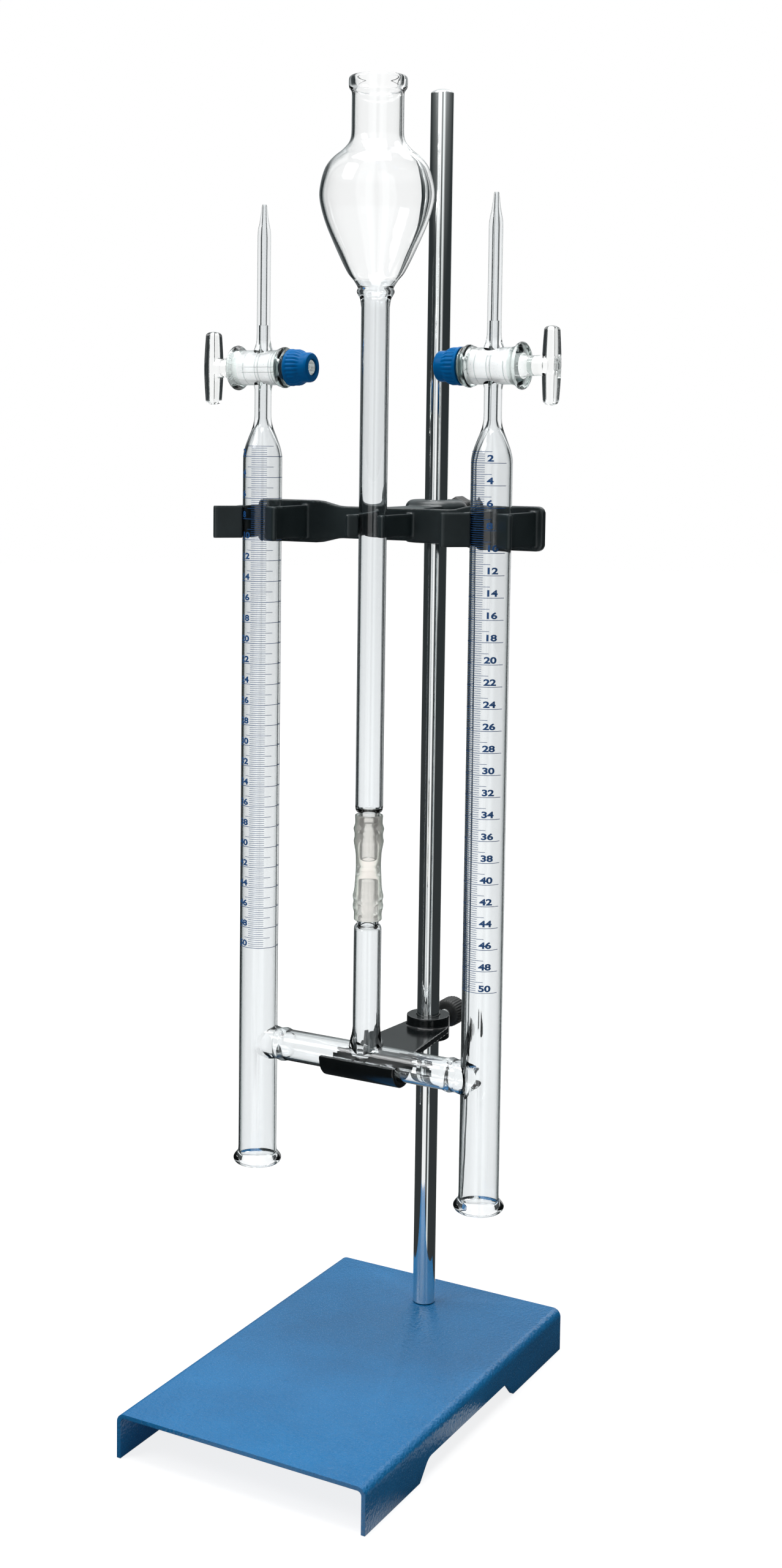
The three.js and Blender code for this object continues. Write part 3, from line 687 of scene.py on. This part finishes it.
def make_clamp():
    """Upper clamp: a waisted bar with three clips, a web, and the boss on the rod."""
    ry, gy = ROD.y / MM, GLASS_Y / MM
    half, front, back = 74.6, 20.8, 24.3
    # half heights of the ends and the waist; the waist stops at mid and the ends start at end
    e, m, mid, end = 10, 7.5, 27.5, 42
    right = [(mid, -m), (mid + 3, -m - 0.25), (end - 3, -e + 0.25), (end, -e),
             *arc(half - 3, -e + 3, 3, -90, 0, 8), *arc(half - 3, e - 3, 3, 0, 90, 8), (end, e),
             (end - 3, e - 0.25), (mid + 3, m + 0.25), (mid, m)]
    outline = right + [(-x, z) for x, z in reversed(right)]
    bar = prism("bar", [(x, CLAMP_Z + z) for x, z in outline], gy + front, gy + back, "XZ")
    spread = SPREAD / MM
    parts = []
    for side in (-1, 1):
        parts += [clip_arm(cx, side, front, inner=9.5, wall=2.6, hook=50, lip=12.5, height=15)
                  for cx in (-spread, spread)]
        parts.append(clip_arm(0, side, front, inner=6.75, wall=2.4, hook=46, lip=4.5, height=10))
    r, z0, z1, rnd = 14.8, 399, 419.4, 4
    boss = [(0, z0), (r - 1, z0), (r, z0 + 1), *arc(r - rnd, z1 - rnd, rnd, 0, 90, 8), (0, z1)]
    parts.append(lathe("boss", boss, (ROD.x, ROD.y, 0), seg=96))
    web = [(-mid * 0.55, gy + back - 0.5), (-9, gy + back + 8), (-9, ry - 8),
           (9, ry - 8), (9, gy + back + 8), (mid * 0.55, gy + back - 0.5)]
    parts.append(prism("web", web, CLAMP_Z - m, CLAMP_Z + m))
    part = join(bar, *parts)
    carve(part, cylinder(ROD_HOLE_R, 380, 440, (ROD.x, ROD.y, 0)), screw_hole("clamp"))
    part.name = "clamp_moulded"
    soften(part, 0.5, 3)
    finish_piece(part, "black", "clamp", "black_plastic", "tube_clamp")


# ------------------------------------------------------------------ glass
# Profiles hold (radius, height above the floor), or along a stopcock (radius, distance outward from its
# tube's axis), in mm.
def barb(tip, s):
    """Rings worked on a tube end; s is 1 for an end that points up."""
    return [(4.4, tip - s * 18), (4.9, tip - s * 17.3), (5.2, tip - s * 16.5), (4.9, tip - s * 14.6),
            (4.5, tip - s * 13.2), (4.9, tip - s * 12.2), (5.2, tip - s * 11.4), (4.9, tip - s * 9.6),
            (4.5, tip - s * 8.1), (4.4, tip - s * 7), (4.4, tip - s * 1), (4.2, tip - s * 0.4), (3.8, tip)]


def make_glassware():
    """Everything the glass blower fused: two gas tubes, cross tube, riser, barrels and jets."""
    cz = CROSS_Z / MM
    spread, bottom = SPREAD / MM, TUBE_BOTTOM / MM
    r, bore, top = TUBE_R, TUBE_BORE, SHOULDER
    outside, inside = [], []
    for side in (-1, 1):
        at = (side * SPREAD, GLASS_Y, 0)
        outer = [(0, bottom), (8.8, bottom),
                 *spline([(8.8, bottom), (10.4, bottom + 0.3), (11.4, bottom + 1.6), (11.4, bottom + 2.8),
                          (10.4, bottom + 4.2), (9.4, bottom + 5.6), (r, bottom + 8)], 4), (r, top - 3),
                 *spline([(r, top - 1), (9.0, top + 2.4), (8.2, top + 6), (6.6, top + 10.4),
                          (5.1, top + 14.2), (4.2, top + 17.6), (3.95, top + 21.5), (3.95, 470)], 5),
                 (3.95, 470.5), (4.8, 474.5), (5.2, 477), (0, 477)]
        outside.append(lathe("tube", outer, at, seg=96))
        hollow = [(0, bottom - 2), (9.4, bottom - 2), (9.0, bottom - 0.1), (8.5, bottom + 0.5),
                  (bore, bottom + 1.4), (bore, top - 3),
                  *spline([(bore, top - 1.5), (7.9, top + 1.5), (7, top + 5.4), (5.5, top + 9),
                           (3.7, top + 12.6), (2.2, top + 15.6), (1.5, top + 19)], 5), (1.5, 500), (0, 500)]
        inside.append(lathe("bore", hollow, at, seg=96))
        # barrel along X, its wide lip on the handle side
        out = [(0, -10.6), (8.45, -10.6), (8.8, -10.3), (8.85, -9.8), (8.5, -9), (8.05, -8.4), (8.05, 8.7),
               (8.2, 9.8), (8.75, 11.3), (9.6, 12.4), (10.2, 13), (10.4, 13.6), (10.3, 14.1), (10, 14.4),
               (0, 14.0)]
        outside.append(lathe("barrel", out, (side * SPREAD, GLASS_Y, COCK_Z), "X", side, 96))
        inside.append(lathe("seat", [(0, -16), (SEAT_R, -16), (SEAT_R, 20), (0, 20)],
                            (side * SPREAD, GLASS_Y, COCK_Z), "X", side, 96))
        jet_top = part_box("jet_right")[1].z / MM
        tip = [(0, 484), (5.2, 484),
               *spline([(4.9, 486.6), (4.4, 488.8), (3.6, 491.2), (3.2, 494), (3.1, 497)], 4), (3.1, 540),
               *spline([(3.1, 541), (2.9, 543.5), (2.1, 547.5), (1.5, 552), (1.2, jet_top - 0.5)], 4),
               (1.0, jet_top), (0, jet_top)]
        outside.append(lathe("jet", tip, at, seg=64))
        hollow = [(0, 484), (1.1, 484), (1.1, 540), (0.9, 545), (0.7, 549), (0.6, jet_top + 1),
                  (0, jet_top + 1)]
        inside.append(lathe("jet_bore", hollow, at, seg=48))
    # cross tube: worked rings near its ends, which flare into the gas tubes
    c, bead = 7.3, 44
    ring = [(c, bead - 3.2), (7.42, bead - 2.2), (7.85, bead - 1), (8, bead), (7.85, bead + 1),
            (7.5, bead + 2.2), (7.45, bead + 3.4), (7.9, 50), (8.5, 52), (9.0, 54), (9.0, spread)]
    body = [(0, -spread)] + [(a, -u) for a, u in reversed(ring)] + ring + [(0, spread)]
    outside.append(lathe("cross", body, (0, GLASS_Y, CROSS_Z), "X", 1, 96))
    inside.append(cylinder(6.1, -spread, spread, (0, GLASS_Y, CROSS_Z), "X", 96))
    # riser with its barbed end
    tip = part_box("riser_tube")[1].z / MM
    riser = [(0, cz), (8.2, cz),
             *spline([(8.1, cz + 3), (8.0, cz + 6.4), (7.5, cz + 9.4), (6.75, cz + 12.4), (6.4, cz + 15.5),
                      (6.4, 178)], 4),
             (6.4, 222.8), (6.25, 223.9), (5.9, 224.6), (5.3, 225), *barb(tip, 1), (0, tip)]
    outside.append(lathe("riser", riser, (0, GLASS_Y, 0), seg=96))
    hollow = [(0, cz), (5.2, cz), (5.2, 221.8), (5.0, 222.9), (4.4, 223.6), (3.5, 223.9), (3.2, 224.4),
              (3.2, tip + 1), (0, tip + 1)]
    inside.append(lathe("riser_bore", hollow, (0, GLASS_Y, 0), seg=72))
    body = join(outside[0], *outside[1:])
    carve(body, *inside)
    body.name = "glassware_blown"
    body.data.shade_smooth()
    body.data.set_sharp_from_angle(angle=math.radians(38))
    finish_piece(body, "glass", "glassware", "clear_glass", "cross_tube", "riser_tube",
                 *(f"{w}_{s}" for w in ("gas_tube", "stopcock_barrel", "jet") for s in ("left", "right")))
    body.data.materials.append(MAT["ground_glass"])
    body.data.materials.append(MAT["lip_glass_painted_shade"])
    for p in body.data.polygons:
        across = math.hypot(p.center.y - GLASS_Y, p.center.z - COCK_Z) / MM
        along = abs(p.center.x) / MM - spread
        if abs(across - SEAT_R) < 0.1:                                   # ground seat of the key
            p.material_index = 1
        elif SEAT_R + 0.1 < across < 10.6 and (along < -8.3 or along > 9.6) and abs(along) < 15:
            # painted shade: the lips take the darker copy of the glass
            p.material_index = 2                                         # lips of the barrel


def make_reservoir():
    """Filling bulb and its stem, blown as one."""
    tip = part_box("reservoir_stem")[0].z / MM
    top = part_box("reservoir_bulb")[1].z / MM
    outer = [(3.2, tip), (3.8, tip), *barb(tip, -1)[::-1][1:], (5.3, 277.6), (5.9, 277.9), (6.25, 278.6),
             (6.4, 279.8), (6.4, 505),
             *spline([(6.4, 507), (6.9, 510.4), (7.7, 512.1), (8.4, 513.4), (8.5, 514.3), (8.1, 515.2),
                      (8.2, 516), (10.1, 519.1), (12.7, 522.3), (16, 528.6), (19.6, 536.4), (22.7, 543.7),
                      (24.9, 550.8), (25.8, 556.5), (25.2, 562), (23.7, 567.4), (21.9, 570.6), (19.3, 573.4),
                      (15.7, 576.3), (13.1, 579.2), (12, 581.8), (11.7, 585), (11.7, 590)], 5), (11.7, 600),
             *spline([(11.7, 601.2), (11.95, 602.2), (12.7, 603.2), (13.05, 604.1), (13.15, 605.2),
                      (13.15, 606.6), (13, 607.8), (12.4, top - 0.2), (11.5, top), (10.8, top - 0.2),
                      (10.45, top - 1), (10.4, top - 3)], 4)]
    inner = [(10.4, 592),
             *spline([(10.4, 590), (10.4, 584.6), (10.7, 581.4), (12, 578.3), (14.9, 575.1), (18.4, 572.3),
                      (20.8, 569.7), (22.4, 566.7), (23.9, 561.6), (24.45, 556.5), (23.6, 551.3),
                      (21.5, 544.4), (18.2, 537), (14.8, 530.3), (11.3, 523), (8.2, 518.2), (5.9, 514.5),
                      (5.2, 510)], 5), (5.2, 280.8), (5.0, 279.7), (4.4, 279), (3.5, 278.7), (3.2, 278.2)]
    body = lathe("reservoir_blown", outer + inner, (0, GLASS_Y, 0), seg=128, smooth=50)
    finish_piece(body, "glass", "reservoir", "clear_glass", "reservoir_stem", "reservoir_bulb")
    body.data.materials.append(MAT["bulb_glass_painted_light"])
    for p in body.data.polygons:
        # painted light: faces above 519 mm, the bulb, take the lighter copy of the glass
        p.material_index = int(p.center.z > 519 * MM)


def make_handle(at, out_at):
    """Upright bar of a key's T handle: rounded oblong section, slimmer and closed to a dome at both ends."""
    reach, wide, thick, corner, flat, dome = 17.0, 4.3, 3.0, 0.8, 0.2, 1.9
    # the extra point either side of each corner keeps the faces flat
    quarter = [(wide, thick - corner - flat), *arc(wide - corner, thick - corner, corner, 0, 90, 6),
               (wide - corner - flat, thick)]
    outline = quarter + [(-y, x) for y, x in reversed(quarter)]
    outline += [(-y, -x) for y, x in quarter] + [(y, -x) for y, x in reversed(quarter)]
    bm = bmesh.new()
    rings = []
    steps = 32
    for i in range(steps + 1):
        z = reach * math.sin(math.pi / 2 * (-1 + 2 * i / steps))
        taper = 1 - 0.2 * abs(z / reach) ** 1.6
        close = max(0.0, 1 - max(0.0, (abs(z) - (reach - dome)) / dome) ** 2.4) ** 0.5
        size = taper * close
        section = outline if close > 0.02 else [(0, 0)]
        rings.append([bm.verts.new(Vector(at) + Vector((out_at + x * size, y * size, z)) * MM)
                      for y, x in section])
    skin(bm, rings)
    return to_object("handle", bm)


def make_key(side, word):
    """Solid plug with its T handle, then the washer, ring and nut that hold it."""
    at = (side * SPREAD, GLASS_Y, COCK_Z)
    out_at = 27.4                                 # middle of the handle, from the tube
    plug = lathe("key_" + word, [(0, -26), (3.2, -26), (3.6, -25.6), (3.6, -10.8), (5.2, -10.4), (5.3, -10),
                                 (5.3, 13), (5.15, 14.2), (4.6, 15.6), (4.4, 18), (4.4, 22.5), (4.8, 25),
                                 (0, out_at)], at, "X", side)
    join(plug, make_handle(at, side * out_at))
    carve(plug, cylinder(1.5, -8, 8, at, seg=32))
    plug.data.shade_smooth()
    plug.data.set_sharp_from_angle(angle=math.radians(40))
    finish_piece(plug, "solid_glass", "key_" + word, "clear_glass", "stopcock_key_" + word)
    plug.data.materials.append(MAT["ground_glass"])
    plug.data.materials.append(MAT["washer"])
    for p in plug.data.polygons:
        u = side * (p.center.x - at[0]) / MM
        across = math.hypot(p.center.y - at[1], p.center.z - at[2]) / MM
        if -10.9 < u < 13.2 and across > 4:                              # ground cone
            p.material_index = 1
        # painted shade: the plug's end inside the nut takes the darker washer glass
        elif u < -15:                                                    # dark end inside the nut
            p.material_index = 2

    profile = [(3.9, -12.6), (8.9, -12.6), (9.3, -12.4), (9.4, -12.15), (9.2, -11.85), (9.2, -11.65),
               (9.4, -11.35), (9.3, -11.1), (8.9, -10.9), (3.9, -10.9)]
    washer = lathe("key_washer_clear_" + word, profile, at, "X", side, 96)
    finish_piece(washer, "washer", "key_" + word, "clear_washer", "key_washer_" + word)
    profile = [(6.6 + 2.05 * math.cos(a), -13.75 + 0.98 * math.sin(a))
               for a in (2 * math.pi * i / 20 for i in range(20))]
    ring = lathe("key_oring_round_" + word, profile, at, "X", side, seg=96, smooth=80)
    finish_piece(ring, "ring", "key_" + word, "grey_rubber", "key_oring_" + word)

    profile = [(3.9, -26.6), (5.6, -26.6), (6.3, -26.4), (6.7, -25.9), (6.85, -25.2), (6.85, -23),
               (7.0, -22.3), (7.7, -21.2), (8.1, -20.4), (8.3, -19.6), (8.3, -16.9), (8.35, -16.6),
               (8.5, -16.3), (8.5, -15.2), (8.35, -15), (3.9, -15)]
    flutes = 26
    nut = lathe("key_nut_fluted_" + word, profile, at, "X", side, 8 * flutes)
    for v in nut.data.vertices:
        u = side * (v.co.x - at[0]) / MM
        y, z = v.co.y - at[1], v.co.z - at[2]
        r = math.hypot(y, z) / MM
        if r > 6.5 and -22.4 < u < -16.55:
            cut = 0.32 * (0.5 + 0.5 * math.cos(flutes * math.atan2(z, y))) ** 2 * (1 if u > -21.5 else 0.3)
            v.co.y, v.co.z = at[1] + y * (r - cut) / r, at[2] + z * (r - cut) / r
    finish_piece(nut, "nut", "key_" + word, "blue_plastic", "key_nut_" + word)


def make_coupling():
    """Silicone sleeve, bulged where the worked glass ends stretch it."""
    lo, hi = (v.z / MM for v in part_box("silicone_coupling"))
    outer = spline([(6.5, hi - 0.3), (6.35, 272.6), (6.6, 271.3), (7.05, 270), (6.95, 269), (6.6, 267.4),
                    (6.65, 265.6), (6.95, 264.2), (6.7, 262.3), (6.1, 259), (5.85, 255), (5.85, 252),
                    (6.1, 246), (6.4, 242), (6.75, 240), (7.1, 238.4), (6.95, 237.3), (6.7, 236.1),
                    (6.85, 235), (7.05, 233.8), (6.85, 232.3), (6.45, 230.5), (6.5, lo + 0.3)], 4)
    inner = [(6.3, lo), (5.7, lo), (5.5, lo + 0.2), (5.5, 247.6), (4.3, 248.6), (4.3, 252.6), (5.5, 254.2),
             (5.5, hi - 0.2), (5.7, hi), (6.3, hi)]
    sleeve = lathe("sleeve_soft", outer + inner, (0, GLASS_Y, 0), seg=96, smooth=60)
    finish_piece(sleeve, "silicone", "glassware", "silicone", "silicone_coupling")


# ------------------------------------------------------------------ printed scale
def band(bm, at, z, start, end, height):
    """One enamel line round the tube, from one angle to another in degrees."""
    n = max(2, round(abs(end - start) / 6))
    lo, hi = TUBE_R * MM + PRINT_GAP, TUBE_R * MM + PRINT_RISE
    cols = []
    for i in range(n + 1):
        a = math.radians(start + (end - start) * i / n)
        d = Vector((math.cos(a), math.sin(a), 0))
        up = Vector((0, 0, height / 2))
        c = Vector((at, GLASS_Y, z))
        cols.append([bm.verts.new(c + d * lo - up), bm.verts.new(c + d * hi - up),
                     bm.verts.new(c + d * hi + up), bm.verts.new(c + d * lo + up)])
    for a, b in zip(cols, cols[1:]):
        for k in range(4):
            bm.faces.new([a[k], b[k], b[(k + 1) % 4], a[(k + 1) % 4]])
    bm.faces.new(cols[0])
    bm.faces.new(list(reversed(cols[-1])))


def numeral(text, at, z, angle):
    """A number bent round the tube, its left edge at an angle in degrees."""
    half_depth, lift, squash = 0.013 * MM, 0.018 * MM, 0.9
    curve = bpy.data.curves.new("numeral", "FONT")
    curve.body, curve.size, curve.align_x = text, 4.3 * MM, "LEFT"
    curve.extrude, curve.offset, curve.space_character = half_depth, 0.16 * MM, 0.98
    ob = bpy.data.objects.new("numeral", curve)
    bpy.context.scene.collection.objects.link(ob)
    dg = bpy.context.evaluated_depsgraph_get()
    me = bpy.data.meshes.new_from_object(ob.evaluated_get(dg))
    bpy.data.objects.remove(ob)
    bm = bmesh.new()
    bm.from_mesh(me)
    wide = max(v.co.x for v in bm.verts)
    for i in range(1, int(wide / FACET) + 1):     # fine strips, so that the figures bend with the glass
        everything = list(bm.verts) + list(bm.edges) + list(bm.faces)
        bmesh.ops.bisect_plane(bm, geom=everything, plane_co=(i * FACET, 0, 0), plane_no=(1, 0, 0))
    for v in bm.verts:
        a = math.radians(angle) + WIDEN * v.co.x / (TUBE_R * MM)
        r = TUBE_R * MM + lift + v.co.z
        v.co = Vector((at + r * math.cos(a), GLASS_Y + r * math.sin(a), z + squash * v.co.y))
    bm.to_mesh(me)
    bm.free()
    return me


def make_scale(side, word, minor, medium, major, figures):
    """Marks every 0.2 ml from 1 to 50, numbered every 2 ml. Marks go from one angle round the tube to
    another, and figures start at an angle, in degrees."""
    at = side * SPREAD
    top, step = SCALES[word]
    bm = bmesh.new()
    for i in range(5, 251):                       # fifths of a millilitre
        z = top - (i / 5 - 2) * step
        if i % 10 == 0:
            band(bm, at, z, *major, 0.26 * MM)
            bm.from_mesh(numeral(str(i // 5), at, z + 0.75 * MM, figures))
        elif i % 5 == 0:
            band(bm, at, z, *medium, 0.22 * MM)
        else:
            band(bm, at, z, *minor, 0.20 * MM)
    ob = to_object("scale_" + word, bm, 0)
    finish_piece(ob, "print", "glassware", "blue_plastic")


# ------------------------------------------------------------------ floor, lights, world
def area(name, where, target, size, power):
    d = bpy.data.lights.new(name, "AREA")
    d.shape, d.size, d.size_y, d.energy = "RECTANGLE", *size, power
    o = bpy.data.objects.new(name, d)
    o.location = where
    o.rotation_euler = (Vector(target) - Vector(where)).to_track_quat("-Z", "Y").to_euler()
    bpy.context.scene.collection.objects.link(o)


def make_studio():
    """Round floor, four soft lights, a white world, and a room that only polished faces mirror."""
    bm = bmesh.new()
    bmesh.ops.create_circle(bm, cap_ends=True, radius=6, segments=96)
    floor = to_object("floor", bm, 0)
    floor.location.z = -0.0002
    floor.data.materials.append(floor_paint())
    area("key", (-1.0, -1.2, 1.7), (0, 0, 0.25), (0.8, 0.8), 14)
    area("fill", (1.5, -0.9, 1.0), (0, 0, 0.3), (0.4, 1.2), 0.5)
    area("rim", (0.3, 1.3, 2.2), (0, 0, 0.3), (1.0, 0.5), 5)
    area("top", (-0.1, -0.1, 2.2), (0, 0, 0), (1.3, 1.3), 44)

    world = bpy.context.scene.world or bpy.data.worlds.new("studio")
    bpy.context.scene.world = world
    world.use_nodes = True
    t = world.node_tree
    t.nodes.clear()
    out = t.nodes.new("ShaderNodeOutputWorld")
    seen = add(t, "Background", Color=(1, 1, 1, 1), Strength=1.0)
    room = add(t, "Background", Strength=1.0)
    tc = t.nodes.new("ShaderNodeTexCoord")
    xyz = t.nodes.new("ShaderNodeSeparateXYZ")
    t.links.new(tc.outputs["Generated"], xyz.inputs[0])

    # what polished faces mirror: dark walls with upright soft boxes, and a brighter room overhead
    boxes = ramp(t, heading(t, xyz.outputs["X"], xyz.outputs["Y"]), BOXES)
    high = ramp(t, math_node(t, "MULTIPLY_ADD", xyz.outputs["Z"], 0.5, 0.5), ROOM)
    t.links.new(added(t, high, boxes), room.inputs["Color"])
    ambient = add(t, "Background", Color=(1, 1, 1, 1), Strength=AMBIENT)
    plain = mix_shaders(t, looked_at(t), ambient.outputs[0], seen.outputs[0])
    t.links.new(mix_shaders(t, mirror_rays(t), plain, room.outputs[0]), out.inputs["Surface"])
    bpy.context.scene.view_settings.view_transform = "Standard"


# ------------------------------------------------------------------ build it

make_camera()
make_base()
make_rod()
make_thumbscrew("cradle", knob_r=7.1, lobes=32, depth=0.22)
make_thumbscrew("clamp", knob_r=9, lobes=8, depth=0.9)
make_cradle()
make_clamp()
make_glassware()
make_reservoir()
make_coupling()
for key_side, key_word in ((-1, "left"), (1, "right")):
    make_key(key_side, key_word)
make_scale(-1, "left", minor=(-92.5, -45.5), medium=(-106.5, -24.5), major=(-143.5, 36.5), figures=-132)
make_scale(1, "right", minor=(-137, -84), medium=(-137, -64), major=(-190, -21), figures=-77)
make_studio()
